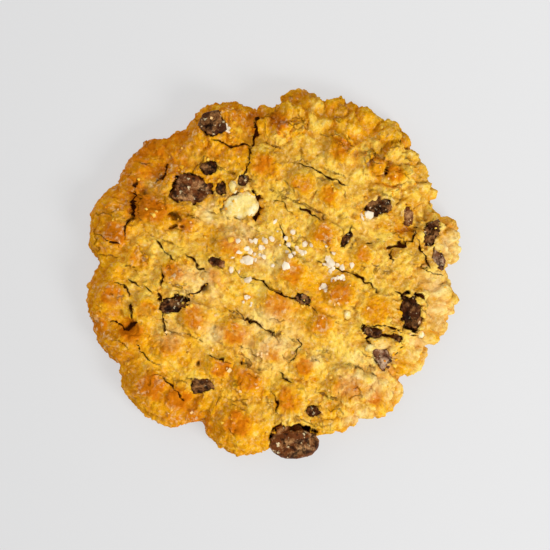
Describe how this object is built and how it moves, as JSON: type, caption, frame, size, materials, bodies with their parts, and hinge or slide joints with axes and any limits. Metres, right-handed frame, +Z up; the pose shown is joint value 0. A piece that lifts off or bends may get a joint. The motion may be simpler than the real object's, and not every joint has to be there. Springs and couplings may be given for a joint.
{
  "type": "chocolate chip cookie",
  "caption": "Round baked cookie with a flat base, a lobed broken rim, rows of square fork-pressed bumps on top, and dark, milk and white chocolate chips set in pockets.",
  "frame": {"origin": "centre of the flat base, under the middle of the cookie's bounding box", "axes": "+Z up, the way the cookie lies with its chips on top; +X to the right and +Y away, seen from above with the bottom-edge chip towards the viewer"},
  "size_m": [0.0748, 0.0736, 0.0131],
  "materials": {
    "dough": "dry baked crumb, golden brown on the high spots and rim, paler in the hollows",
    "dark_chocolate": "satin, with faint grey bloom",
    "milk_chocolate": "satin, with faint grey bloom",
    "white_chocolate": "smooth, waxy"
  },
  "bodies": {
    "root": {"dough": "dough", "chip_main": "milk_chocolate", "chip_upper": "dark_chocolate", "chip_bead": "dark_chocolate", "chip_corner": "dark_chocolate", "white_chunk": "white_chocolate", "chip_top_left": "dark_chocolate", "chip_right_upper": "dark_chocolate", "chip_sliver": "milk_chocolate", "chip_far_right": "dark_chocolate", "chip_far_right_low": "milk_chocolate", "chip_right": "dark_chocolate", "chip_lower_right": "dark_chocolate", "chip_dusted": "milk_chocolate", "chip_speck": "dark_chocolate", "chip_bottom": "milk_chocolate", "chip_left": "dark_chocolate", "chip_lower_left": "dark_chocolate", "chip_mid": "dark_chocolate", "chip_grey": "milk_chocolate", "chip_crack": "dark_chocolate", "chip_low": "dark_chocolate"}
  },
  "joints": []
}
